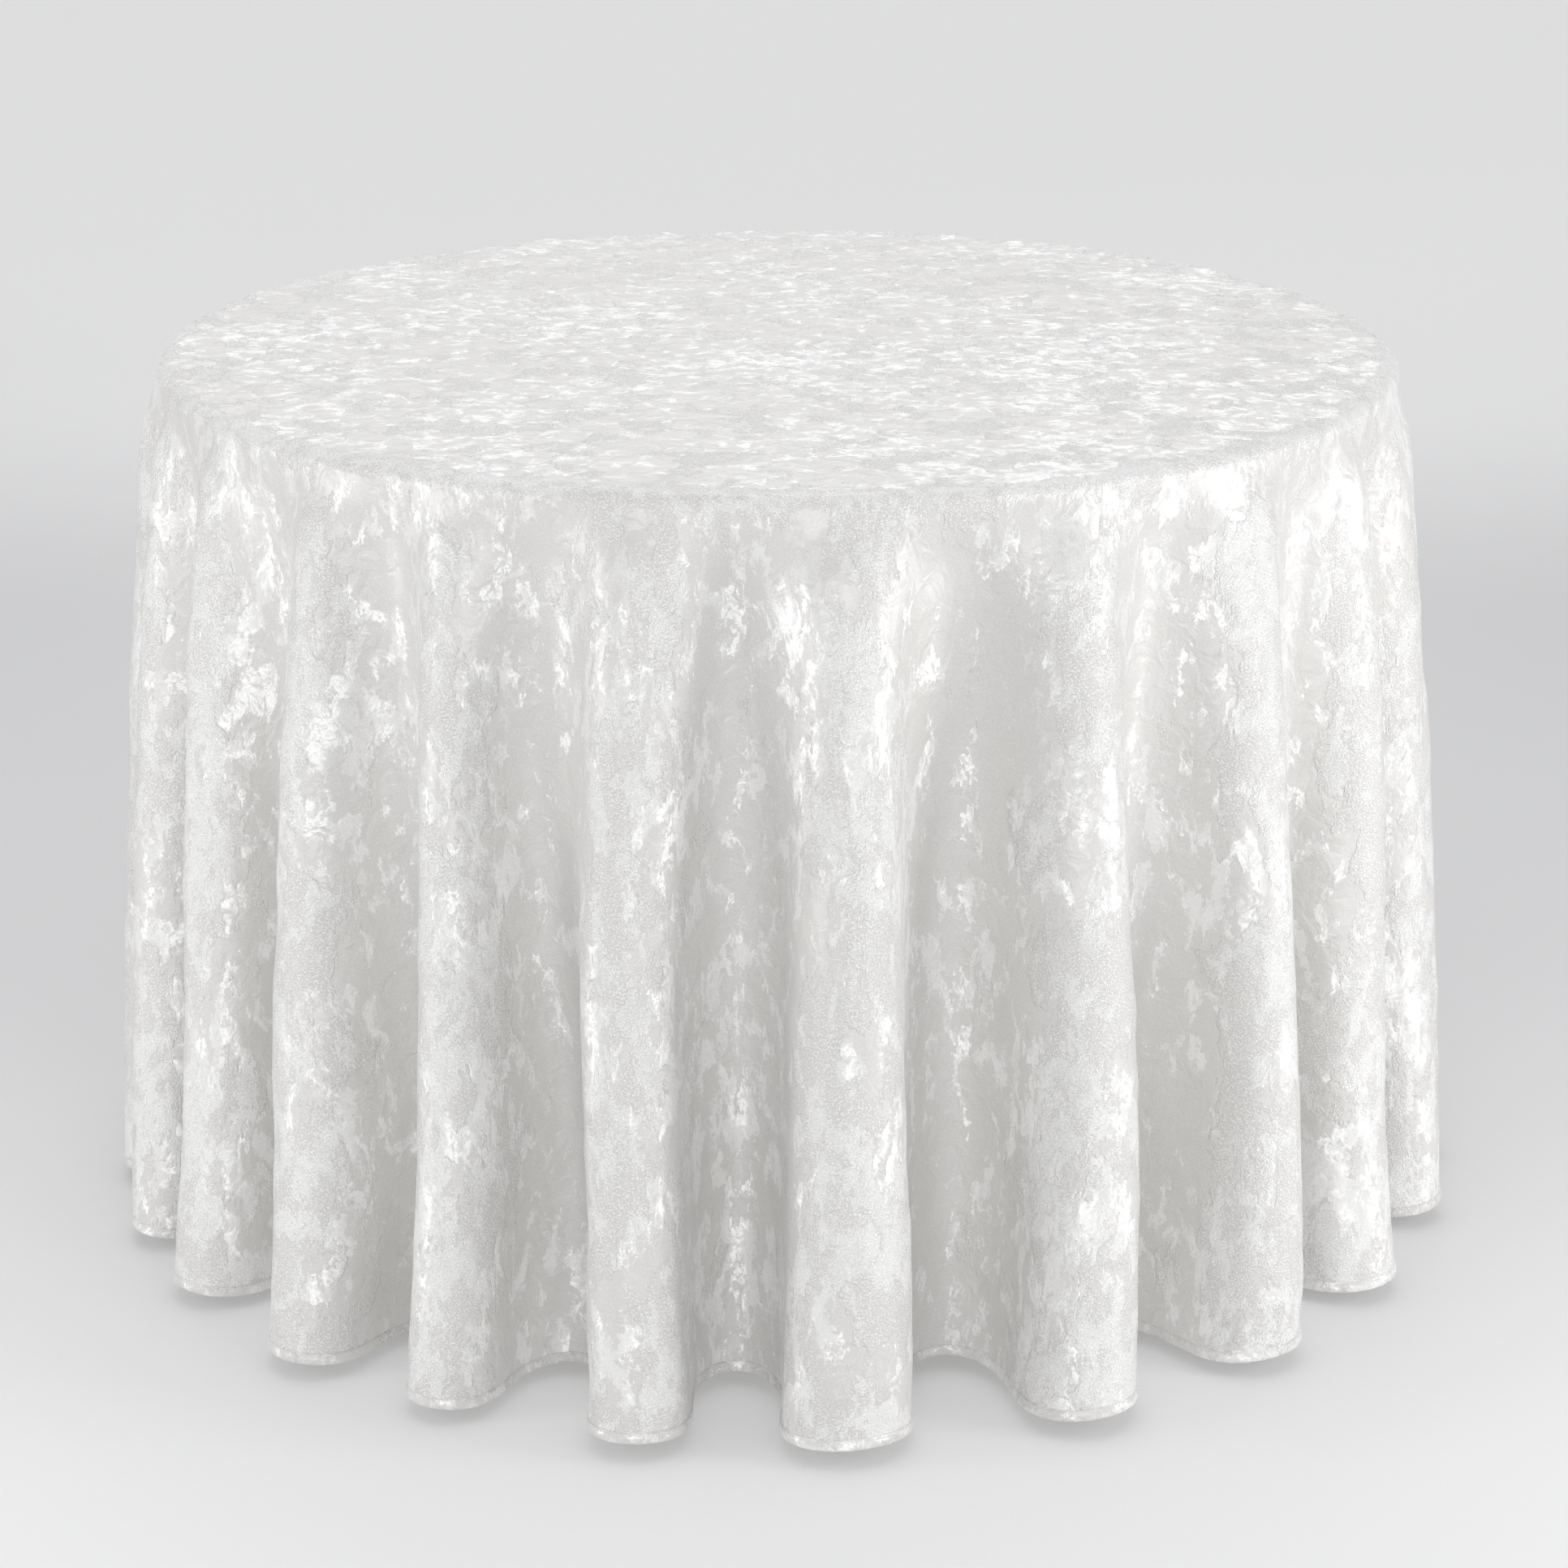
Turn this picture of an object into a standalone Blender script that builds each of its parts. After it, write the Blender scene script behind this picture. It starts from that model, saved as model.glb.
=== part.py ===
"""Round folding table under a floor-length round tablecloth.

The table has a plywood top with a bullnose edge, two runners, and two steel leg
frames that fold inward, one above the other. Each frame turns in two hinge
brackets and is held open by a sprung lock lever. The cloth is a pleated bell
that rests on the top and lifts straight off. Metres, +Z up, floor at z = 0,
table axis at the origin.
"""
import math

import bmesh
import bpy
from mathutils import Matrix, Vector

# ---- driving dimensions -------------------------------------------------
TABLE_HEIGHT = 0.762
TABLE_RADIUS = 0.5334
TOP_THICKNESS = 0.019
GAP = 0.0003

EDGE_RADIUS = TOP_THICKNESS / 2
BOARD_RADIUS = TABLE_RADIUS - EDGE_RADIUS - GAP

RUNNER_LENGTH = 0.90
RUNNER_WIDTH = 0.060
RUNNER_THICKNESS = 0.018
RUNNER_Y = 0.125
RAIL_WIDTH = 0.050
RAIL_X = 0.405
RAIL_BEVEL = 0.002
SPACER_HEIGHT = 0.036
SPACER_MARGIN = 0.003

HINGE_X = 0.30
HINGE_DROP = 0.026
LEG_SPLAY = math.radians(4.0)
TUBE_RADIUS = 0.0127
TUBE_WALL = 0.0015
TUBE_CLEARANCE = 0.0004
TUBE_END_ROUND = 0.003
STRETCHER_RADIUS = 0.0095
STRETCHER_DROP = 0.50
LEG_Y = {"left": 0.250, "right": 0.185}
SIDES = {"left": -1, "right": 1}
ROWS = {"front": -1, "back": 1}

FOOT_RADIUS = 0.0165
FOOT_HEIGHT = 0.034
FOOT_SOLE = 0.008
FOOT_TRIM = 0.004
FOOT_LIP = 0.0015

PLATE = 0.003
BASE_INNER = 0.032
BASE_OUTER = 0.058
BASE_HALF_WIDTH = 0.026
EAR_INNER = 0.020
EAR_OUTER = 0.040
EAR_DROP = 0.018
EAR_SPACING = 0.0105
COLLAR_RADIUS = 0.0215
COLLAR_NOTCH = 0.005
TOOTH_TIP = (0.0222, -0.0055)
COLLAR_THICKNESS = 0.004
LEVER_THICKNESS = 0.003
LEVER_PIN = (0.030, 0.010)
LEVER_PIN_RADIUS = 0.0025
PIN_HEAD_RADIUS = 0.0042
PIN_HEAD_HEIGHT = 0.0012
HOLE_CLEARANCE = 0.0005
# Outline of the lever from its pin, as (outward, up), starting at the boss.
LEVER_OUTLINE = ((-0.0062, 0.0020), (-0.0040, 0.0055), (0.0040, 0.0055), (0.0080, 0.0010),
                 (0.0290, -0.0090), (0.0290, -0.0140), (0.0255, -0.0140), (0.0060, -0.0055),
                 (-0.0045, -0.0175), (-0.0078, -0.0155))

SCREW_RADIUS = 0.002
SCREW_HEAD_RADIUS = 0.0042
SCREW_HEAD_HEIGHT = 0.0022
SCREW_HEAD_TAPER = 0.8
SCREW_CLEARANCE = 0.0005
SCREW_INSET = 0.0075
BRACKET_SCREW_LENGTH = 0.016
RUNNER_SCREW_LENGTH = 0.028
RUNNER_SCREW_XS = (-0.20, 0.0, 0.20)

CLOTH_THICKNESS = 0.0025
CLOTH_CLEARANCE = 0.0010
RIM_BEND = 0.0130
HEM_HEIGHT = 0.012
CREST_RADIUS = 0.612
VALLEY_RADIUS = 0.5415
CREST_EASE = 0.85
MITER_LIMIT = 0.5
HEM_BAND_WIDTH = 0.009
HEM_BAND_THICKNESS = 0.0010
HEM_BAND_GAP = 0.0009
# Bearings of the fold crests on the seen side, in degrees from the front.
FRONT_CRESTS = (-84.0, -70.2, -56.9, -41.1, -27.3, -11.9, 5.6, 25.2, 43.4, 59.0, 74.7, 88.0)
BACK_CREST_COUNT = 11
BACK_CREST_SWING = 1.6
BACK_CREST_RHYTHM = 2.4
COLUMNS_PER_FOLD = 6
SKIRT_ROWS = (0.10, 0.30, 0.60, 1.0)
BEND_STEPS = 3

ROUND_SIDES = 24
TOP_SIDES = 96
SMALL_SIDES = 12
BULLNOSE_STEPS = 6

BOARD_BOTTOM = TABLE_HEIGHT - TOP_THICKNESS
RUNNER_TOP = BOARD_BOTTOM - GAP
RUNNER_BOTTOM = RUNNER_TOP - RUNNER_THICKNESS


# ---- scene helpers ------------------------------------------------------
def clear_scene():
    for obj in list(bpy.data.objects):
        bpy.data.objects.remove(obj, do_unlink=True)


def new_collection(name):
    collection = bpy.data.collections.new(name)
    bpy.context.scene.collection.children.link(collection)
    return collection


def new_material(name, color, roughness, metallic=0.0):
    material = bpy.data.materials.new(name)
    material.use_nodes = True
    shader = material.node_tree.nodes["Principled BSDF"]
    shader.inputs["Base Color"].default_value = (*color, 1.0)
    shader.inputs["Roughness"].default_value = roughness
    shader.inputs["Metallic"].default_value = metallic
    return material


def add_part(name, bm, material, matrix=Matrix.Identity(4)):
    mesh = bpy.data.meshes.new(name)
    bmesh.ops.recalc_face_normals(bm, faces=bm.faces)
    bm.to_mesh(mesh)
    bm.free()
    obj = bpy.data.objects.new(name, mesh)
    obj.matrix_world = matrix
    obj.data.materials.append(material)
    parts.objects.link(obj)
    return obj


def add_cutter(name, bm, matrix=Matrix.Identity(4)):
    mesh = bpy.data.meshes.new(name)
    bm.to_mesh(mesh)
    bm.free()
    obj = bpy.data.objects.new(name, mesh)
    obj.matrix_world = matrix
    obj.hide_render = True
    obj.display_type = "WIRE"
    cutters.objects.link(obj)
    return obj


def boolean(obj, tool, operation="DIFFERENCE"):
    modifier = obj.modifiers.new(operation.lower(), "BOOLEAN")
    modifier.operation = operation
    modifier.object = tool
    modifier.solver = "EXACT"


def box_mesh(low, high):
    low = Vector(low)
    high = Vector(high)
    bm = bmesh.new()
    bmesh.ops.create_cube(bm, size=1.0)
    bmesh.ops.scale(bm, vec=high - low, verts=bm.verts)
    bmesh.ops.translate(bm, vec=(high + low) / 2, verts=bm.verts)
    return bm


def rod_mesh(radius, length, sides=ROUND_SIDES):
    bm = bmesh.new()
    bmesh.ops.create_cone(bm, cap_ends=True, segments=sides, radius1=radius,
                          radius2=radius, depth=length)
    return bm


def turned(name, profile, sides, material, matrix=Matrix.Identity(4)):
    """Turn an outline of (radius, height) points about the local Z axis."""
    mesh = bpy.data.meshes.new(name)
    points = [(radius, 0.0, height) for radius, height in profile]
    closed = profile[0][0] > 0.0
    edges = [(i, i + 1) for i in range(len(points) - 1)]
    if closed:
        edges.append((len(points) - 1, 0))
    mesh.from_pydata(points, edges, [])
    obj = bpy.data.objects.new(name, mesh)
    obj.matrix_world = matrix
    obj.data.materials.append(material)
    parts.objects.link(obj)
    screw = obj.modifiers.new("turn", "SCREW")
    screw.axis = "Z"
    screw.steps = sides
    screw.render_steps = sides
    screw.use_merge_vertices = True
    screw.merge_threshold = 0.00001
    return obj


def bevel(obj, width, segments=1):
    modifier = obj.modifiers.new("bevel", "BEVEL")
    modifier.width = width
    modifier.segments = segments
    modifier.limit_method = "ANGLE"
    modifier.angle_limit = math.radians(40)


# ---- table top ----------------------------------------------------------
def make_top():
    bm = rod_mesh(BOARD_RADIUS, TOP_THICKNESS, TOP_SIDES)
    place = Matrix.Translation((0, 0, TABLE_HEIGHT - TOP_THICKNESS / 2))
    board = add_part("table_top", bm, plywood, place)
    for row in ROWS.values():
        for x in RUNNER_SCREW_XS:
            boolean(board, screw_cutter((x, row * RUNNER_Y), RUNNER_BOTTOM, RUNNER_SCREW_LENGTH))

    outline = []
    for i in range(BULLNOSE_STEPS + 1):
        turn = -math.pi / 2 + math.pi * i / BULLNOSE_STEPS
        radius = TABLE_RADIUS - EDGE_RADIUS + EDGE_RADIUS * math.cos(turn)
        outline.append((radius, EDGE_RADIUS * math.sin(turn)))
    turned("edge_band", outline[::-1], TOP_SIDES, vinyl, place)


def screw_cutter(center, seat, length):
    """A clearance hole for a screw whose head seats at height seat, point up."""
    depth = length + 2 * SCREW_CLEARANCE
    bm = rod_mesh(SCREW_RADIUS + SCREW_CLEARANCE, depth, SMALL_SIDES)
    place = Matrix.Translation((*center, seat + depth / 2 - SCREW_CLEARANCE))
    return add_cutter("screw_hole", bm, place)


def make_screw(name, center, seat, length):
    seat = seat - GAP
    outline = [(0.0, length), (SCREW_RADIUS, length - SCREW_RADIUS), (SCREW_RADIUS, 0.0),
               (SCREW_HEAD_RADIUS, 0.0), (SCREW_HEAD_RADIUS * SCREW_HEAD_TAPER, -SCREW_HEAD_HEIGHT),
               (0.0, -SCREW_HEAD_HEIGHT)]
    turned(name, outline, SMALL_SIDES, zinc, Matrix.Translation((*center, seat)))


def make_runners():
    half = RUNNER_LENGTH / 2
    for row_name, row in ROWS.items():
        center_y = row * RUNNER_Y
        low = (-half, center_y - RUNNER_WIDTH / 2, RUNNER_BOTTOM)
        high = (half, center_y + RUNNER_WIDTH / 2, RUNNER_TOP)
        runner = add_part(f"runner_{row_name}", box_mesh(low, high), hardwood)
        for number, x in enumerate(RUNNER_SCREW_XS, start=1):
            cutter = screw_cutter((x, center_y), RUNNER_BOTTOM, RUNNER_SCREW_LENGTH)
            boolean(runner, cutter)
            make_screw(f"runner_screw_{row_name}_{number}", (x, center_y), RUNNER_BOTTOM,
                       RUNNER_SCREW_LENGTH)
        for x, y in bracket_screws("left", row):
            boolean(runner, screw_cutter((x, y), bracket_seat("left"), BRACKET_SCREW_LENGTH))


def make_rails():
    half_y = RUNNER_Y - RUNNER_WIDTH / 2 - GAP
    for side_name, side in SIDES.items():
        low = (side * RAIL_X - RAIL_WIDTH / 2, -half_y, RUNNER_BOTTOM)
        high = (side * RAIL_X + RAIL_WIDTH / 2, half_y, RUNNER_TOP)
        rail = add_part(f"cross_rail_{side_name}", box_mesh(low, high), hardwood)
        bevel(rail, RAIL_BEVEL)


# ---- hinges -------------------------------------------------------------
def mount_height(side_name):
    """Height of the wood that the brackets of one side are screwed to."""
    lowered = SPACER_HEIGHT + GAP if side_name == "right" else 0.0
    return RUNNER_BOTTOM - lowered


def hinge_height(side_name):
    return mount_height(side_name) - GAP - HINGE_DROP


def bracket_seat(side_name):
    """Underside of a bracket's base plate, where its screw heads sit."""
    return mount_height(side_name) - GAP - PLATE


def bracket_screws(side_name, row):
    side = SIDES[side_name]
    inset = SCREW_INSET
    inner = (side * (HINGE_X - BASE_INNER + inset), row * (RUNNER_Y + BASE_HALF_WIDTH - inset))
    outer = (side * (HINGE_X + BASE_OUTER - inset), row * (RUNNER_Y - BASE_HALF_WIDTH + inset))
    return inner, outer


def make_spacers():
    x_low = HINGE_X - BASE_INNER - SPACER_MARGIN
    x_high = HINGE_X + BASE_OUTER + SPACER_MARGIN
    for row_name, row in ROWS.items():
        low = (x_low, row * RUNNER_Y - BASE_HALF_WIDTH, mount_height("right"))
        high = (x_high, row * RUNNER_Y + BASE_HALF_WIDTH, RUNNER_BOTTOM - GAP)
        spacer = add_part(f"hinge_spacer_{row_name}", box_mesh(low, high), hardwood)
        for x, y in bracket_screws("right", row):
            boolean(spacer, screw_cutter((x, y), bracket_seat("right"), BRACKET_SCREW_LENGTH))


def along_y(x, y, z):
    """Place a piece made along local Z so that it runs along Y."""
    return Matrix.Translation((x, y, z)) @ Matrix.Rotation(math.pi / 2, 4, "X")


def make_bracket(side_name, row_name):
    side = SIDES[side_name]
    row = ROWS[row_name]
    axis_z = hinge_height(side_name)
    base_top = axis_z + HINGE_DROP
    center_y = row * RUNNER_Y

    def span(inner, outer, y_low, y_high, z_low, z_high):
        xs = sorted((side * (HINGE_X - inner), side * (HINGE_X + outer)))
        return box_mesh((xs[0], center_y + y_low, z_low), (xs[1], center_y + y_high, z_high))

    base = span(BASE_INNER, BASE_OUTER, -BASE_HALF_WIDTH, BASE_HALF_WIDTH, base_top - PLATE, base_top)
    bracket = add_part(f"{side_name}_hinge_{row_name}", base, steel)
    for sign in (-1, 1):
        ys = sorted((sign * (EAR_SPACING - PLATE / 2), sign * (EAR_SPACING + PLATE / 2)))
        ear = span(EAR_INNER, EAR_OUTER, ys[0], ys[1], axis_z - EAR_DROP, base_top - PLATE / 2)
        boolean(bracket, add_cutter("ear", ear), "UNION")
    hole = rod_mesh(TUBE_RADIUS + HOLE_CLEARANCE, 2 * BASE_HALF_WIDTH)
    boolean(bracket, add_cutter("bar_hole", hole, along_y(side * HINGE_X, center_y, axis_z)))
    pin_x = side * (HINGE_X + LEVER_PIN[0])
    pin_z = axis_z + LEVER_PIN[1]
    pin_hole = rod_mesh(LEVER_PIN_RADIUS + HOLE_CLEARANCE, 2 * BASE_HALF_WIDTH, SMALL_SIDES)
    boolean(bracket, add_cutter("pin_hole", pin_hole, along_y(pin_x, center_y, pin_z)))
    for number, (x, y) in enumerate(bracket_screws(side_name, row), start=1):
        seat = bracket_seat(side_name)
        boolean(bracket, screw_cutter((x, y), seat, BRACKET_SCREW_LENGTH))
        make_screw(f"{side_name}_screw_{row_name}_{number}", (x, y), seat, BRACKET_SCREW_LENGTH)


def make_lock(side_name):
    """The sprung lever on the front bracket, its pin, and the notched collar it meets."""
    side = SIDES[side_name]
    axis_z = hinge_height(side_name)
    center_y = -RUNNER_Y
    pin_x = side * (HINGE_X + LEVER_PIN[0])
    pin_z = axis_z + LEVER_PIN[1]

    half = EAR_SPACING + PLATE / 2 + 2 * GAP
    end = half + PIN_HEAD_HEIGHT
    upper = [(0.0, end), (PIN_HEAD_RADIUS, end), (PIN_HEAD_RADIUS, half), (LEVER_PIN_RADIUS, half)]
    outline = upper + [(radius, -height) for radius, height in reversed(upper)]
    turned(f"{side_name}_lever_pin", outline, SMALL_SIDES, zinc, along_y(pin_x, center_y, pin_z))

    lever = flat_plate(LEVER_OUTLINE, side, LEVER_THICKNESS)
    lever_obj = add_part(f"{side_name}_lock_lever", lever, steel,
                         Matrix.Translation((pin_x, center_y, pin_z)))
    hole = rod_mesh(LEVER_PIN_RADIUS + HOLE_CLEARANCE, 2 * LEVER_THICKNESS, SMALL_SIDES)
    boolean(lever_obj, add_cutter("lever_hole", hole, along_y(pin_x, center_y, pin_z)))


def flat_plate(outline, side, thickness):
    """Extrude an outline of (outward, up) points along Y, centred on y = 0."""
    bm = bmesh.new()
    near = [bm.verts.new((side * x, -thickness / 2, z)) for x, z in outline]
    face = bm.faces.new(near)
    result = bmesh.ops.extrude_face_region(bm, geom=[face])
    moved = [item for item in result["geom"] if isinstance(item, bmesh.types.BMVert)]
    bmesh.ops.translate(bm, vec=(0, thickness, 0), verts=moved)
    return bm


# ---- leg frames ---------------------------------------------------------
def frame_empty(side_name):
    """An empty on the hinge axis, with its local -Z down the splayed legs."""
    side = SIDES[side_name]
    empty = bpy.data.objects.new(f"{side_name}_frame_axis", None)
    empty.location = (side * HINGE_X, 0, hinge_height(side_name))
    empty.rotation_euler = (0, -side * LEG_SPLAY, 0)
    parts.objects.link(empty)
    bpy.context.view_layer.update()
    return empty


def hang(obj, empty, place):
    obj.parent = empty
    obj.matrix_parent_inverse = Matrix.Identity(4)
    obj.matrix_basis = place


def tube_outline(radius, length):
    half = length / 2
    inner = radius - TUBE_WALL
    return [(radius, half), (radius, -half), (inner, -half), (inner, half)]


def make_leg_frame(side_name):
    empty = frame_empty(side_name)
    leg_y = LEG_Y[side_name]
    reach = hinge_height(side_name) / math.cos(LEG_SPLAY)
    bar_length = 2 * (leg_y - TUBE_RADIUS - GAP)
    crosswise = Matrix.Rotation(math.pi / 2, 4, "X")

    bar = turned(f"{side_name}_pivot_bar", tube_outline(TUBE_RADIUS, bar_length), ROUND_SIDES, powder)
    hang(bar, empty, crosswise)
    stretcher = turned(f"{side_name}_stretcher", tube_outline(STRETCHER_RADIUS, bar_length),
                       ROUND_SIDES, powder)
    hang(stretcher, empty, Matrix.Translation((0, 0, -STRETCHER_DROP)) @ crosswise)
    make_collar(side_name, empty)

    tube_end = -(reach - FOOT_SOLE - GAP)
    inner = TUBE_RADIUS - TUBE_WALL
    shoulder = TUBE_RADIUS - TUBE_END_ROUND
    leg_outline = [(0.0, TUBE_RADIUS), (shoulder, TUBE_RADIUS), (TUBE_RADIUS, shoulder),
                   (TUBE_RADIUS, tube_end), (inner, tube_end), (inner, shoulder - TUBE_WALL),
                   (0.0, TUBE_RADIUS - TUBE_WALL)]
    for row_name, row in ROWS.items():
        place = Matrix.Translation((0, row * leg_y, 0))
        leg = turned(f"{side_name}_leg_{row_name}", leg_outline, ROUND_SIDES, powder)
        hang(leg, empty, place)
        foot = make_foot(f"{side_name}_foot_{row_name}", reach)
        hang(foot, empty, place)


def make_foot(name, reach):
    """A rubber cap on the tube end, cut level with the floor."""
    bottom = -reach - FOOT_TRIM
    rim = -reach + FOOT_HEIGHT
    bore = TUBE_RADIUS + TUBE_CLEARANCE
    seat = -reach + FOOT_SOLE
    outline = [(0.0, seat), (bore, seat), (bore, rim), (FOOT_RADIUS - FOOT_LIP, rim),
               (FOOT_RADIUS, rim - FOOT_LIP), (FOOT_RADIUS, bottom), (0.0, bottom)]
    foot = turned(name, outline, ROUND_SIDES, rubber)
    boolean(foot, floor_cutter)
    return foot


def make_collar(side_name, empty):
    bore = TUBE_RADIUS + TUBE_CLEARANCE
    half = COLLAR_THICKNESS / 2
    outline = [(COLLAR_RADIUS, half), (COLLAR_RADIUS, -half), (bore, -half), (bore, half)]
    collar = turned(f"{side_name}_lock_collar", outline, ROUND_SIDES, zinc)
    hang(collar, empty, Matrix.Translation((0, -RUNNER_Y, 0)) @ Matrix.Rotation(math.pi / 2, 4, "X"))
    notch_half = COLLAR_NOTCH / 2
    notch = box_mesh((-notch_half, -COLLAR_THICKNESS, -notch_half),
                     (notch_half, COLLAR_THICKNESS, notch_half))
    tip_x = SIDES[side_name] * (HINGE_X + TOOTH_TIP[0])
    tip_z = hinge_height(side_name) + TOOTH_TIP[1]
    boolean(collar, add_cutter("notch", notch, Matrix.Translation((tip_x, -RUNNER_Y, tip_z))))


# ---- tablecloth ---------------------------------------------------------
def crest_bearings():
    first_back = FRONT_CRESTS[-1]
    opening = FRONT_CRESTS[0] + 360.0 - first_back
    step = opening / (BACK_CREST_COUNT + 1)
    back = [first_back + step * i + BACK_CREST_SWING * math.sin(BACK_CREST_RHYTHM * i)
            for i in range(1, BACK_CREST_COUNT + 1)]
    return list(FRONT_CRESTS) + back


def column_bearings():
    """Bearing and fold phase (0 at a crest, 0.5 in a valley) of each column."""
    crests = crest_bearings()
    columns = []
    for i, start in enumerate(crests):
        end = crests[i + 1] if i + 1 < len(crests) else crests[0] + 360.0
        for k in range(COLUMNS_PER_FOLD):
            phase = k / COLUMNS_PER_FOLD
            columns.append((math.radians(start + (end - start) * phase), phase))
    return columns


def skirt_ring(columns, share):
    """Plan points of the cloth's outside at a share of the drop (0 rim, 1 hem)."""
    rim = cloth_rim_radius()
    crest = rim + (CREST_RADIUS - rim) * share ** CREST_EASE
    valley = rim + (VALLEY_RADIUS - rim) * share
    ring = []
    for bearing, phase in columns:
        weight = (1 + math.cos(2 * math.pi * phase)) / 2
        radius = valley + (crest - valley) * weight
        ring.append(Vector((radius * math.sin(bearing), -radius * math.cos(bearing))))
    return ring


def cloth_rim_radius():
    return TABLE_RADIUS + CLOTH_CLEARANCE + CLOTH_THICKNESS


def centering(ring):
    """Sideways drift of the hem that puts the cloth's box on the table's axis."""
    xs = [point.x for point in ring]
    ys = [point.y for point in ring]
    return Vector((-(max(xs) + min(xs)) / 2, -(max(ys) + min(ys)) / 2))


def offset_ring(ring, distance):
    """Move a closed plan outline inward by distance, square to its sides."""
    count = len(ring)
    moved = []
    for i, point in enumerate(ring):
        before = (point - ring[i - 1]).normalized()
        after = (ring[(i + 1) % count] - point).normalized()
        normal_before = Vector((-before.y, before.x))
        normal_after = Vector((-after.y, after.x))
        normal = (normal_before + normal_after).normalized()
        miter = distance / max(normal.dot(normal_after), MITER_LIMIT)
        moved.append(point + normal * miter)
    return moved


def cloth_rings(columns, depth):
    """Rings of the cloth from the top's flat to the hem, depth below its outside."""
    rim = cloth_rim_radius()
    top = TABLE_HEIGHT + CLOTH_CLEARANCE / 2 + CLOTH_THICKNESS
    bend = RIM_BEND
    center_z = top - bend
    drift = centering(skirt_ring(columns, 1.0))
    rings = []
    for step in range(BEND_STEPS + 1):
        turn = math.pi / 2 * step / BEND_STEPS
        radius = rim - bend + (bend - depth) * math.sin(turn)
        height = center_z + (bend - depth) * math.cos(turn)
        rings.append([(radius * math.sin(b), -radius * math.cos(b), height) for b, _ in columns])
    for share in SKIRT_ROWS:
        height = center_z + (HEM_HEIGHT - center_z) * share
        plan = [point + drift * share ** 2 for point in skirt_ring(columns, share)]
        if depth:
            plan = offset_ring(plan, depth)
        rings.append([(point.x, point.y, height) for point in plan])
    return rings


def loft(bm, rings):
    """Join closed rings of equal length into a skin and return their vertices."""
    rows = [[bm.verts.new(point) for point in ring] for ring in rings]
    for upper, lower in zip(rows, rows[1:]):
        for i in range(len(upper)):
            j = (i + 1) % len(upper)
            bm.faces.new((upper[i], lower[i], lower[j], upper[j]))
    return rows


def cap(bm, ring, height):
    """Close a ring with a fan of triangles about the table's axis."""
    center = bm.verts.new((0, 0, height))
    for i in range(len(ring)):
        bm.faces.new((center, ring[i], ring[(i + 1) % len(ring)]))


def join_edges(bm, ring, other):
    for i in range(len(ring)):
        j = (i + 1) % len(ring)
        bm.faces.new((ring[i], other[i], other[j], ring[j]))


def make_tablecloth():
    columns = column_bearings()
    bm = bmesh.new()
    outside = loft(bm, cloth_rings(columns, 0.0))
    inside = loft(bm, cloth_rings(columns, CLOTH_THICKNESS))
    cap(bm, outside[0], outside[0][0].co.z)
    cap(bm, inside[0], inside[0][0].co.z)
    join_edges(bm, outside[-1], inside[-1])
    add_part("tablecloth", bm, velvet)


def make_hem_band():
    """The edge of the cloth turned back inside the skirt."""
    columns = column_bearings()
    near = CLOTH_THICKNESS + HEM_BAND_GAP
    depths = (near, near + HEM_BAND_THICKNESS)
    above, hem = cloth_rings(columns, 0.0)[-2:]
    rise = above[0][2] - hem[0][2]
    section = []
    for depth, lift in ((depths[0], HEM_BAND_WIDTH), (depths[0], GAP), (depths[1], GAP),
                        (depths[1], HEM_BAND_WIDTH)):
        plan = [Vector(low[:2]).lerp(Vector(high[:2]), lift / rise) for low, high in zip(hem, above)]
        ring = offset_ring(plan, depth)
        section.append([(point.x, point.y, HEM_HEIGHT + lift) for point in ring])
    bm = bmesh.new()
    loft(bm, section + section[:1])
    bmesh.ops.remove_doubles(bm, verts=bm.verts, dist=0.00001)
    add_part("hem_band", bm, velvet)


# ---- build --------------------------------------------------------------
clear_scene()
parts = new_collection("tablecloth_on_table")
cutters = new_collection("cutters")

velvet = new_material("velvet", (0.86, 0.85, 0.83), 0.45)
plywood = new_material("plywood", (0.62, 0.44, 0.26), 0.55)
vinyl = new_material("vinyl_edge", (0.20, 0.14, 0.09), 0.45)
hardwood = new_material("hardwood", (0.66, 0.50, 0.32), 0.6)
steel = new_material("bracket_steel", (0.55, 0.55, 0.56), 0.35, 1.0)
zinc = new_material("zinc_steel", (0.62, 0.61, 0.58), 0.3, 1.0)
powder = new_material("powder_coat", (0.05, 0.05, 0.055), 0.4)
rubber = new_material("rubber", (0.03, 0.03, 0.03), 0.8)

floor_cutter = add_cutter("floor", box_mesh((-1.0, -1.0, -0.1), (1.0, 1.0, 0.0)))
make_top()
make_runners()
make_rails()
make_spacers()
for side_label in SIDES:
    for row_label in ROWS:
        make_bracket(side_label, row_label)
    make_lock(side_label)
    make_leg_frame(side_label)
make_tablecloth()
make_hem_band()
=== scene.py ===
"""Crushed-velvet floor-length tablecloth over a round folding table."""
import math

import bpy
import numpy as np
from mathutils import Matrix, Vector, noise


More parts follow.
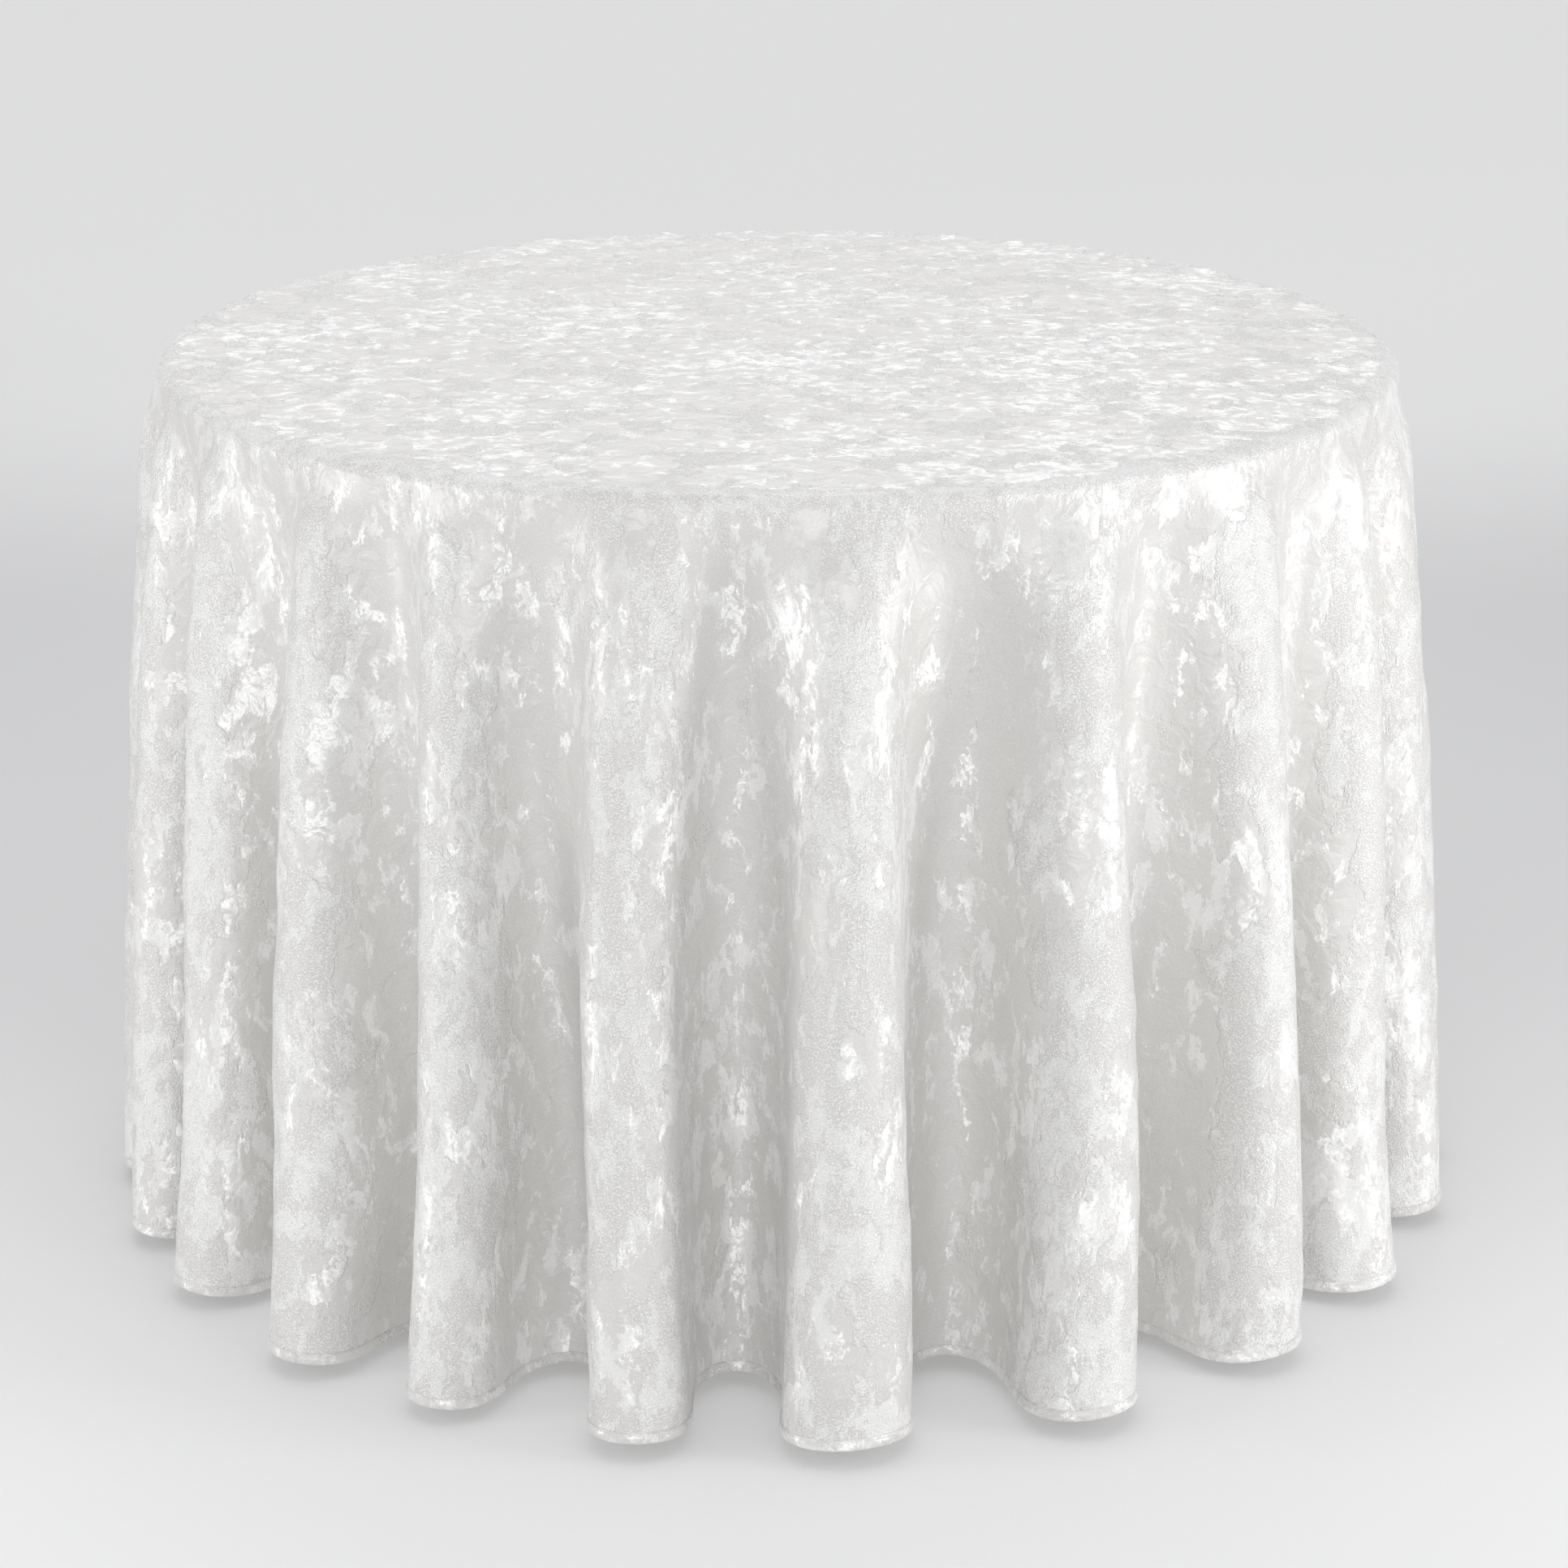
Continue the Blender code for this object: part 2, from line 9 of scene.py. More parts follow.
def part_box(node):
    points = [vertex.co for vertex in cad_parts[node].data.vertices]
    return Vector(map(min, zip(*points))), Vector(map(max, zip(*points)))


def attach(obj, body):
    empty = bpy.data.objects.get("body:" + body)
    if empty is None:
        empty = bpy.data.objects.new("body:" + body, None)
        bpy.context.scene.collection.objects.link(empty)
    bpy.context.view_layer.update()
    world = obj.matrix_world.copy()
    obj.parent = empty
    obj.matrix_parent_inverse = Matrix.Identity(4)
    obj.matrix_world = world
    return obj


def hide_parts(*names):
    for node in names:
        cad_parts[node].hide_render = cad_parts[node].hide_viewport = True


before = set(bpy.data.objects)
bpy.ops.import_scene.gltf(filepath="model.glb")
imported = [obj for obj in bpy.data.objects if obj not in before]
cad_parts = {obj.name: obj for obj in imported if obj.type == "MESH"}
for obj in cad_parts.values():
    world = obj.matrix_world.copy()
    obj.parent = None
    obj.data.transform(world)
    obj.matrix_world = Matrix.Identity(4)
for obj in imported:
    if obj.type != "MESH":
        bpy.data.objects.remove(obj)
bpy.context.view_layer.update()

# ---- places taken from the frame ---------------------------------------
edge_low, edge_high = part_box("edge_band")
TOP_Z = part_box("tablecloth")[1].z
TABLE_RADIUS = edge_high.x
EDGE_BOTTOM = edge_low.z
# Radius of the hanging cloth where it leaves the table's edge.
RIM_RADIUS = TABLE_RADIUS + 0.0035
EDGE_CLEARANCE = 0.0015
EDGE_MARGIN = 0.004
HEM_HEIGHT = 0.010

# ---- the cloth as it was cut: a full circle ----------------------------
CLOTH_RADIUS = 1.2954
BEND = 0.0125
FLAT_END = RIM_RADIUS - BEND
# Width of the flat ring just inside the bend that the skirt's mesh includes.
FLAT_MARGIN = 0.024
FLAT_ROWS = 3
BEND_ROWS = 3
# Distance from the cloth's centre at which it first hangs straight down.
VERTICAL_START = FLAT_END + BEND * math.pi / 2
HELD_INSIDE = 0.004
MEAN_FLARE = 0.020

# Bearings of the fold crests on the seen side, in degrees from the front.
FRONT_CRESTS = (-84.0, -70.2, -56.9, -41.1, -27.3, -11.9, 5.6, 25.2, 43.4, 59.0, 74.7, 88.0)
BACK_CREST_COUNT = 11
BACK_CREST_SWING = 1.6
BACK_CREST_RHYTHM = 2.4
FOLD_COLUMNS = 16
SKIRT_STEP = 0.0145
# The folds grow from the rim over this much cloth.
FOLD_START = 0.006
FOLD_GROWTH = 0.07
# Sideways lean of the folds, and uneven depth of them, as noise round and down the cloth.
LEAN = math.radians(1.6)
LEAN_GROWTH = 0.3
LEAN_ROUND = 3.1
LEAN_DOWN = 2.2
SWELL = 0.22
SWELL_ROUND = 4.3
SWELL_DOWN = 2.6
SWELL_START = 7.0
# A row never comes nearer to the row above it than this share of its cloth.
LEAST_FALL = 0.55

SETTLE_FRAMES = 30
SOFTEN_COLUMNS = 2.6
SOFTEN_ROWS = 4
CLOTH_SETTINGS = {
    "quality": 8,
    "mass": 0.012,
    "air_damping": 4.0,
    "tension_stiffness": 40.0,
    "compression_stiffness": 20.0,
    "shear_stiffness": 8.0,
    "bending_stiffness": 0.6,
    "tension_damping": 20.0,
    "compression_damping": 20.0,
    "shear_damping": 10.0,
    "bending_damping": 1.0,
    "pin_stiffness": 1.0,
}

# Pile roughed up where the table's edge presses on it, and painted paler there as a highlight
# along the rim.
RIM_PILE_AND_HIGHLIGHT = 0.9
RIM_HIGHLIGHT_WIDTH = 0.011
RIM_HIGHLIGHT_RADIUS = FLAT_END + 0.006
# Cloth over which the crests' pile and painted highlight, with the valleys' painted shade,
# begins, and the top's pattern gives way to the skirt's.
CREST_GROWTH = 0.06
PATTERN_CHANGE = 0.030
# Share of the surface's relief that stays where the cloth lies on the top.
TOP_RELIEF = 0.6
RELIEF_GROWTH = 0.05

# Rings of the part that lies on the top: their spacing, and when their columns halve.
TOP_STEP = 0.0082
MIDDLE_STEP = 0.011
MIDDLE_COLUMNS = 46
LAST_COLUMNS = 23
HALVED_SPACING = 0.0085 * 1.7


# ---- camera -------------------------------------------------------------
LENS = 84.7
CAMERA_PLACE = (0.006, -3.1775, 1.4528)
LOOK_DOWN = 19.05


def add_camera():
    """The studio camera, in front of the table and looking down on it."""
    data = bpy.data.cameras.new("camera")
    data.lens = LENS
    data.sensor_width = 36.0
    obj = bpy.data.objects.new("camera", data)
    obj.location = CAMERA_PLACE
    obj.rotation_euler = (math.radians(90.0 - LOOK_DOWN), 0.0, 0.0)
    bpy.context.scene.collection.objects.link(obj)
    bpy.context.scene.camera = obj


add_camera()


# ---- helpers ------------------------------------------------------------
NOISE_CELLS = 256


def smoothstep(value):
    """An ease from 0 to 1, level at both ends."""
    value = np.clip(value, 0.0, 1.0)
    return value * value * (3 - 2 * value)


def gradient_noise(x, y, cell, seed):
    """Smooth noise of about -1 to 1 whose features are cell metres apart."""
    size = NOISE_CELLS
    angles = np.random.RandomState(seed).uniform(0.0, 2 * math.pi, (size, size))
    x = x / cell
    y = y / cell
    left = np.floor(x).astype(int)
    low = np.floor(y).astype(int)

    def corner(i, j):
        angle = angles[(left + i) % size, (low + j) % size]
        return np.cos(angle) * (x - left - i) + np.sin(angle) * (y - low - j)

    u = smoothstep(x - left)
    v = smoothstep(y - low)
    near = corner(0, 0) * (1 - u) + corner(1, 0) * u
    far = corner(0, 1) * (1 - u) + corner(1, 1) * u
    return 1.5 * (near * (1 - v) + far * v)


def mesh_object(name, points, faces):
    """A mesh object, linked to the scene."""
    mesh = bpy.data.meshes.new(name)
    mesh.from_pydata([tuple(p) for p in points], [], [tuple(f) for f in faces])
    obj = bpy.data.objects.new(name, mesh)
    bpy.context.scene.collection.objects.link(obj)
    return obj


def ring_faces(first, second, columns):
    """Quads between two rings of the same count, by the index of each ring's start."""
    return [(first + i, second + i, second + (i + 1) % columns, first + (i + 1) % columns)
            for i in range(columns)]


def grid_faces(rows, columns):
    """Quads between all the rings of a grid."""
    faces = []
    for row in range(rows - 1):
        faces += ring_faces(row * columns, (row + 1) * columns, columns)
    return faces


# ---- draping the cloth --------------------------------------------------
def crest_bearings():
    """Bearings of all the fold crests, in radians: the seen ones, then the back's."""
    last_seen = FRONT_CRESTS[-1]
    step = (FRONT_CRESTS[0] + 360.0 - last_seen) / (BACK_CREST_COUNT + 1)
    back = [last_seen + step * i + BACK_CREST_SWING * math.sin(BACK_CREST_RHYTHM * i)
            for i in range(1, BACK_CREST_COUNT + 1)]
    return np.radians(list(FRONT_CRESTS) + back)


def fold_angle(ratio):
    """Swing of a fold's direction for which its width is ratio times its cloth."""
    swings = np.linspace(0.0, 2.2, 441)
    turn = (np.arange(256) + 0.5) / 256 * 2 * math.pi
    widths = np.cos(swings[:, None] * np.cos(turn)[None]).mean(axis=1)
    return float(np.interp(-ratio, -widths, swings))


def fold_section(swing, columns):
    """One fold as a strip of cloth bends: across and outward, per length of cloth."""
    fine = 16
    steps = columns * fine
    phase = (np.arange(steps) + 0.5) / steps
    heading = -swing * np.sin(2 * math.pi * phase)
    across = np.concatenate([[0.0], np.cumsum(np.cos(heading)) / steps])
    outward = np.concatenate([[0.0], np.cumsum(np.sin(heading)) / steps])
    outward -= (outward.max() + outward.min()) / 2
    return across[:-1:fine], outward[:-1:fine], across[-1]


def fabric_rows():
    """Distances from the cloth's centre of the simulated rings."""
    flat = np.linspace(FLAT_END - FLAT_MARGIN, FLAT_END, FLAT_ROWS)
    bend = np.linspace(FLAT_END, VERTICAL_START, BEND_ROWS + 1)[1:]
    count = round((CLOTH_RADIUS - VERTICAL_START) / SKIRT_STEP)
    skirt = np.linspace(VERTICAL_START, CLOTH_RADIUS, count + 1)[1:]
    return np.concatenate([flat, bend, skirt])


def noise_round(bearings, radius, level):
    """Noise at places round a circle of the given radius and level."""
    return np.array([noise.noise((radius * math.cos(b), radius * math.sin(b), level))
                     for b in bearings])


def drape():
    """Rings of points of the hanging cloth, and the same rings lying flat."""
    crests = crest_bearings()
    folds = len(crests)
    widths = np.diff(np.append(crests, crests[0] + 2 * math.pi))
    mean_width = 2 * math.pi / folds
    phase = np.arange(FOLD_COLUMNS) / FOLD_COLUMNS
    width = np.repeat(widths, FOLD_COLUMNS)
    phases = np.tile(phase, folds)
    fabric_bearing = np.repeat(crests, FOLD_COLUMNS) + width * phases
    at_crest = (widths + np.roll(widths, 1)) / 2 / mean_width
    valley_share = (1 - np.cos(2 * math.pi * phases)) / 2
    crest_scale = np.where(phases < 0.5, np.repeat(at_crest, FOLD_COLUMNS),
                           np.repeat(np.roll(at_crest, -1), FOLD_COLUMNS))
    scale = crest_scale * (1 - valley_share) + width / mean_width * valley_share

    hanging, flat = [], []
    above = None
    for rho in fabric_rows():
        drop = max(rho - VERTICAL_START, 0.0)
        if rho <= VERTICAL_START:
            turn = max(rho - FLAT_END, 0.0) / BEND
            mean = min(rho, FLAT_END) + BEND * math.sin(turn)
        else:
            mean = RIM_RADIUS + MEAN_FLARE * drop / (CLOTH_RADIUS - VERTICAL_START)
        swing = fold_angle(mean / rho) if rho > VERTICAL_START - HELD_INSIDE else 0.0
        across, outward, length = fold_section(swing, FOLD_COLUMNS)
        ease = float(smoothstep((rho - FLAT_END - FOLD_START) / FOLD_GROWTH))
        shift = ((across / length - phase) * widths[:, None]).ravel()
        lean = noise_round(fabric_bearing, LEAN_ROUND, LEAN_DOWN * drop)
        swell = noise_round(fabric_bearing, SWELL_ROUND, SWELL_START + SWELL_DOWN * drop)
        bearing = fabric_bearing + ease * shift + LEAN * lean * min(drop / LEAN_GROWTH, 1.0)
        cloth_width = 2 * math.pi * rho / folds
        reach = np.tile(outward, folds) * cloth_width * scale * ease * (1 + SWELL * swell)
        x = (mean + reach) * np.sin(bearing)
        y = -(mean + reach) * np.cos(bearing)
        if rho <= VERTICAL_START:
            z = np.full_like(x, TOP_Z - BEND + BEND * math.cos(turn))
        else:
            step = rho - above[3]
            run = (x - above[0]) ** 2 + (y - above[1]) ** 2
            z = above[2] - np.sqrt(np.maximum(step ** 2 - run, (LEAST_FALL * step) ** 2))
        above = (x, y, z, rho)
        hanging.append(np.stack([x, y, z], axis=-1))
        flat.append(np.stack([rho * np.sin(fabric_bearing), -rho * np.cos(fabric_bearing),
                              np.full_like(x, TOP_Z)], axis=-1))
    return np.array(hanging), np.array(flat)


def settle(hanging, flat):
    """Let the skirt find its rest under gravity, held along the table's rim."""
    rows, columns = hanging.shape[:2]
    obj = mesh_object("skirt_sim", hanging.reshape(-1, 3), grid_faces(rows, columns))
    obj.shape_key_add(name="hanging")
    key = obj.shape_key_add(name="flat")
    key.data.foreach_set("co", flat.reshape(-1))
    key.value = 0.0
    group = obj.vertex_groups.new(name="held")
    held_rows = int(np.sum(fabric_rows() <= VERTICAL_START - HELD_INSIDE))
    group.add(list(range(held_rows * columns)), 1.0, "REPLACE")
    modifier = obj.modifiers.new("cloth", "CLOTH")
    cloth = modifier.settings
    for setting, value in CLOTH_SETTINGS.items():
        setattr(cloth, setting, value)
    cloth.vertex_group_mass = "held"
    cloth.rest_shape_key = key
    modifier.collision_settings.use_collision = False
    modifier.collision_settings.use_self_collision = False
    modifier.point_cache.frame_start = 1
    modifier.point_cache.frame_end = SETTLE_FRAMES
    for step in range(1, SETTLE_FRAMES + 1):
        bpy.context.scene.frame_set(step)
    evaluated = obj.evaluated_get(bpy.context.evaluated_depsgraph_get())
    points = np.empty(rows * columns * 3, np.float32)
    evaluated.data.vertices.foreach_get("co", points)
    bpy.context.scene.frame_set(1)
    bpy.data.objects.remove(obj)
    return points.reshape(rows, columns, 3).astype(float)


def soften(settled, start):
    """Keep the broad part of what the simulation moved, without its smallest crumples."""
    moved = settled - start
    rows, columns = moved.shape[:2]
    waves = np.fft.rfftfreq(columns)
    keep = np.exp(-2 * (math.pi * SOFTEN_COLUMNS * waves) ** 2)
    moved = np.fft.irfft(np.fft.rfft(moved, axis=1) * keep[None, :, None], n=columns, axis=1)
    for _ in range(SOFTEN_ROWS):
        above = np.concatenate([moved[:1], moved[:-1]])
        below = np.concatenate([moved[1:], moved[-1:]])
        moved = (above + 2 * moved + below) / 4
    held = fabric_rows() <= VERTICAL_START - HELD_INSIDE
    moved[held] = 0.0
    return start + moved


def hang_level(points):
    """Bring the lowest point of the hem to its height, and keep the cloth off the edge."""
    start = TOP_Z - BEND
    lowest = points[..., 2].min()
    below = points[..., 2] < start
    stretch = (start - HEM_HEIGHT) / (start - lowest)
    points[..., 2] = np.where(below, start - (start - points[..., 2]) * stretch, points[..., 2])
    radius = np.hypot(points[..., 0], points[..., 1])
    beside = (points[..., 2] > EDGE_BOTTOM - EDGE_MARGIN) & (points[..., 2] < start)
    least = TABLE_RADIUS + EDGE_CLEARANCE
    grow = np.where(beside & (radius < least), least / radius, 1.0)
    points[..., :2] *= grow[..., None]
    return points


def refine_columns(points):
    """Insert a smooth midpoint after every column of a closed ring."""
    before = np.roll(points, 1, axis=1)
    after = np.roll(points, -1, axis=1)
    beyond = np.roll(points, -2, axis=1)
    middle = (9 * (points + after) - before - beyond) / 16
    return np.stack([points, middle], axis=2).reshape(points.shape[0], -1, 3)


def refine_rows(points):
    """Insert a smooth midpoint row between each two rows."""
    rows = points.shape[0]
    before = 2 * points[:1] - points[1:2]
    beyond = 2 * points[-1:] - points[-2:-1]
    padded = np.concatenate([before, points, beyond])
    middle = (9 * (padded[1:-2] + padded[2:-1]) - padded[:-3] - padded[3:]) / 16
    fine = np.empty((2 * rows - 1,) + points.shape[1:])
    fine[0::2] = points
    fine[1::2] = middle
    return fine


# ---- surface relief -----------------------------------------------------
def vertex_normals(points):
    """Outward normals of a grid of rings."""
    along = np.roll(points, -1, axis=1) - np.roll(points, 1, axis=1)
    down = np.gradient(points, axis=0)
    normals = np.cross(down, along)
    return normals / np.maximum(np.linalg.norm(normals, axis=-1, keepdims=True), 1e-9)


# Each noise of the relief as (cell in metres, seed), with its height or reach in metres.
WARP_X = (0.090, 11)
WARP_Y = (0.090, 12)
WARP_REACH = 0.020
BROAD = (0.130, 1)
BROAD_HEIGHT = 0.0011
DENTS = (0.050, 2)
DENTS_HEIGHT = 0.0009
RIDGES = (0.085, 3)
RIDGES_HEIGHT = 0.0010
RIDGE_SHARPNESS = 2.6
# The relief fades out before the hem.
HEM_FADE_START = CLOTH_RADIUS - 0.070
HEM_FADE = 0.055


def relief(flat_x, flat_y):
    """Height of the crushed surface, in metres, at places on the flat cloth."""
    x = flat_x + WARP_REACH * gradient_noise(flat_x, flat_y, *WARP_X)
    y = flat_y + WARP_REACH * gradient_noise(flat_x, flat_y, *WARP_Y)
    broad = gradient_noise(x, y, *BROAD)
    dents = gradient_noise(x, y, *DENTS)
    ridge = 1 - np.clip(np.abs(gradient_noise(x, y, *RIDGES)) * RIDGE_SHARPNESS, 0.0, 1.0)
    return BROAD_HEIGHT * broad + DENTS_HEIGHT * dents + RIDGES_HEIGHT * smoothstep(ridge)


# Wrinkles round the rim: (cell in metres, seed), heights, and how far down each kind runs.
MEANDER = (0.050, 23)
MEANDER_REACH = 0.006
RIPPLE = (0.019, 21)
RIPPLE_HEIGHT = 0.0026
RIPPLE_LENGTH = 0.16
RIPPLE_STRETCH = 0.12
RIPPLE_INSIDE = 0.030
CREASE = (0.042, 24)
CREASE_HEIGHT = 0.0045
CREASE_LENGTH = 0.30
CREASE_STRETCH = 0.25
CREASE_GROWTH = 0.03
# The front has this share of the wrinkles; they grow from this bearing over the next.
FRONT_SHARE = 0.15
FRONT_END = math.radians(28.0)
SIDE_GROWTH = math.radians(30.0)


def rim_pucker(flat_radius, bearing):
    """Radial wrinkles where the cloth is eased over the table's edge, most at the sides."""
    arc = bearing * RIM_RADIUS
    meander = MEANDER_REACH * gradient_noise(arc, flat_radius, *MEANDER)
    ripple = gradient_noise(arc + meander, flat_radius * RIPPLE_STRETCH, *RIPPLE)
    crease = gradient_noise(arc + 2 * meander, flat_radius * CREASE_STRETCH, *CREASE)
    side = smoothstep((np.abs(bearing) - FRONT_END) / SIDE_GROWTH)
    away = FRONT_SHARE + (1 - FRONT_SHARE) * side
    inner = smoothstep((flat_radius - (FLAT_END - RIPPLE_INSIDE)) / RIPPLE_INSIDE)
    hanging = flat_radius - VERTICAL_START
    below = smoothstep(hanging / CREASE_GROWTH)
    short = RIPPLE_HEIGHT * ripple * inner * (1 - smoothstep(hanging / RIPPLE_LENGTH))
    long = CREASE_HEIGHT * crease * below * (1 - smoothstep(hanging / CREASE_LENGTH))
    return away * (short + long)


def make_cloth():
    """The whole sheet: the settled skirt and the part that lies on the top."""
    hanging, flat = drape()
    hanging = soften(settle(hanging, flat), hanging)
    hanging = hang_level(hanging)
    points = refine_rows(refine_columns(hanging))
    fabric = refine_rows(refine_columns(flat))
    rows, columns = points.shape[:2]
    normals = vertex_normals(points)
    flat_radius = np.hypot(fabric[..., 0], fabric[..., 1])
    bearing = np.arctan2(fabric[..., 0], -fabric[..., 1])
    growth = smoothstep((flat_radius - FLAT_END) / RELIEF_GROWTH)
    share = TOP_RELIEF + (1 - TOP_RELIEF) * growth
    height = share * relief(fabric[..., 0], fabric[..., 1]) + rim_pucker(flat_radius, bearing)
    height *= 1 - smoothstep((flat_radius - HEM_FADE_START) / HEM_FADE)
    points = points + normals * height[..., None]

    # Painted light: this attribute paints the pile paler on the fold crests and round the rim as
    # highlights, and darker in the valleys as shade. It also sets more tilt and stipple on the
    # crests.
    phase = np.arange(columns) / (FOLD_COLUMNS * 2)
    skirt = smoothstep((flat_radius - VERTICAL_START) / CREST_GROWTH)
    crest_pile_and_painted_light = 0.5 + 0.5 * np.cos(2 * math.pi * phase)[None] * skirt
    rim_pile_and_highlight = np.exp(-((flat_radius - RIM_HIGHLIGHT_RADIUS) / RIM_HIGHLIGHT_WIDTH) ** 2)
    crest_pile_and_painted_light = crest_pile_and_painted_light + RIM_PILE_AND_HIGHLIGHT * rim_pile_and_highlight
    over = smoothstep((flat_radius - FLAT_END) / PATTERN_CHANGE)

    vertices = [points.reshape(-1, 3)]
    sources = [fabric[..., :2].reshape(-1, 2)]
    faces = grid_faces(rows, columns)
    count = rows * columns
    ring_start = 0
    ring_columns = columns
    ring_bearing = bearing[0]
    radius = FLAT_END - FLAT_MARGIN
    while ring_columns > LAST_COLUMNS:
        if 2 * math.pi * radius < HALVED_SPACING * ring_columns and ring_columns % 2 == 0:
            inner_bearing = ring_bearing[::2]
        else:
            inner_bearing = ring_bearing
        inner_columns = len(inner_bearing)
        radius -= TOP_STEP if ring_columns > MIDDLE_COLUMNS else MIDDLE_STEP
        x = radius * np.sin(inner_bearing)
        y = -radius * np.cos(inner_bearing)
        z = TOP_Z + TOP_RELIEF * relief(x, y)
        vertices.append(np.stack([x, y, z], axis=-1))
        sources.append(np.stack([x, y], axis=-1))
        if inner_columns == ring_columns:
            faces += ring_faces(count, ring_start, ring_columns)
        else:
            for i in range(inner_columns):
                j = (i + 1) % inner_columns
                a = ring_start + 2 * i
                b = ring_start + 2 * i + 1
                c = ring_start + (2 * i + 2) % ring_columns
                faces.append((count + i, a, b))
                faces.append((count + i, b, count + j))
                faces.append((count + j, b, c))
        ring_start = count
        ring_columns = inner_columns
        ring_bearing = inner_bearing
        count += inner_columns
    vertices.append(np.array([[0.0, 0.0, TOP_Z]]))
    sources.append(np.array([[0.0, 0.0]]))
    for i in range(ring_columns):
        faces.append((count, ring_start + i, ring_start + (i + 1) % ring_columns))

    obj = mesh_object("velvet_cloth", np.vstack(vertices), faces)
    for name, values, on_top in (("crest_pile_and_painted_light", crest_pile_and_painted_light, 0.5), ("skirt", over, 0.0)):
        everywhere = np.full(len(obj.data.vertices), on_top, np.float32)
        everywhere[:rows * columns] = values.ravel()
        attribute = obj.data.attributes.new(name, "FLOAT", "POINT")
        attribute.data.foreach_set("value", everywhere)
    layer = obj.data.uv_layers.new(name="cut")
    corner_vertex = np.empty(len(obj.data.loops), np.int32)
    obj.data.loops.foreach_get("vertex_index", corner_vertex)
    layer.data.foreach_set("uv", np.vstack(sources)[corner_vertex].astype(np.float32).ravel())
    obj.data.shade_smooth()
    return obj, points, normals


# ---- hem ----------------------------------------------------------------
# Unevenness along the hem: (cell in metres, seed), outward and upward reach.
HEM_WAVE = (0.05, 31)
HEM_UNEVEN_OUT = 0.00025
HEM_UNEVEN_UP = 0.0004
# Section of the turned hem as (height above the edge, outward).
HEM_SECTION = ((0.0094, 0.0002), (0.0088, 0.0010), (0.0074, 0.0007), (0.0062, 0.0012),
               (0.0014, 0.0013), (0.0003, 0.0008), (-0.0003, 0.0), (0.0003, -0.0008),
               (0.0014, -0.0012), (0.0082, -0.0012), (0.0094, -0.0006))


def make_hem(points, normals):
    """The rolled edge, a closed band round the last few millimetres of the cloth."""
    edge = points[-1]
    up = points[-3] - points[-1]
    up /= np.linalg.norm(up, axis=-1, keepdims=True)
    out = normals[-2]
    columns = len(edge)
    position = np.arange(columns)
    wave = gradient_noise(position * 0.011, 0 * edge[:, 0], *HEM_WAVE)
    rings = []
    for height, outward in HEM_SECTION:
        reach = outward + HEM_UNEVEN_OUT * wave * (outward > 0.0005)
        rise = height - HEM_UNEVEN_UP * wave
        rings.append(edge + up * rise[:, None] + out * reach[:, None])
    faces = grid_faces(len(rings), columns)
    faces += ring_faces((len(rings) - 1) * columns, 0, columns)
    obj = mesh_object("hem", np.vstack(rings), faces)
    obj.data.shade_smooth()
    return obj, edge, up, out


STITCH_UP = 0.0074
STITCH_OUT = 0.00085
STITCH_PITCH = 0.0034
STITCH_HALF = 0.0012
THREAD_RADIUS = 0.00030
THREAD_SIDES = 5
# One stitch's thread as (place along it, share of its radius).
STITCH_STATIONS = ((-1.0, 0.25), (-0.75, 0.85), (0.0, 1.0), (0.75, 0.85), (1.0, 0.25))


def make_stitches(edge, up, out):
    """Short threads of the hem's stitch line, in one mesh."""
    closed = np.vstack([edge, edge[:1]])
    steps = np.linalg.norm(np.diff(closed, axis=0), axis=1)
    length = steps.sum()
    place = np.concatenate([[0.0], np.cumsum(steps)])
    count = int(length / STITCH_PITCH)
    vertices = []
    faces = []
    ups = np.vstack([up, up[:1]])
    outs = np.vstack([out, out[:1]])
    for i in range(count):
        at = (i + 0.5) * length / count
        center = np.array([np.interp(at, place, closed[:, k]) for k in range(3)])
        u = np.array([np.interp(at, place, ups[:, k]) for k in range(3)])
        o = np.array([np.interp(at, place, outs[:, k]) for k in range(3)])
        o /= np.linalg.norm(o)
        t = np.cross(u, o)
        t /= np.linalg.norm(t)
        center = center + u * STITCH_UP + o * STITCH_OUT
        base = len(vertices)
        for along, share in STITCH_STATIONS:
            for k in range(THREAD_SIDES):
                turn = 2 * math.pi * k / THREAD_SIDES
                side = u * math.cos(turn) + o * math.sin(turn)
                vertices.append(center + t * along * STITCH_HALF + side * THREAD_RADIUS * share)
        last = base + (len(STITCH_STATIONS) - 1) * THREAD_SIDES
        for start in range(base, last, THREAD_SIDES):
            faces += ring_faces(start, start + THREAD_SIDES, THREAD_SIDES)
        faces.append(tuple(base + k for k in range(THREAD_SIDES)))
        faces.append(tuple(last + k for k in reversed(range(THREAD_SIDES))))
    obj = mesh_object("hem_stitches", vertices, faces)
    obj.data.shade_smooth()
    return obj


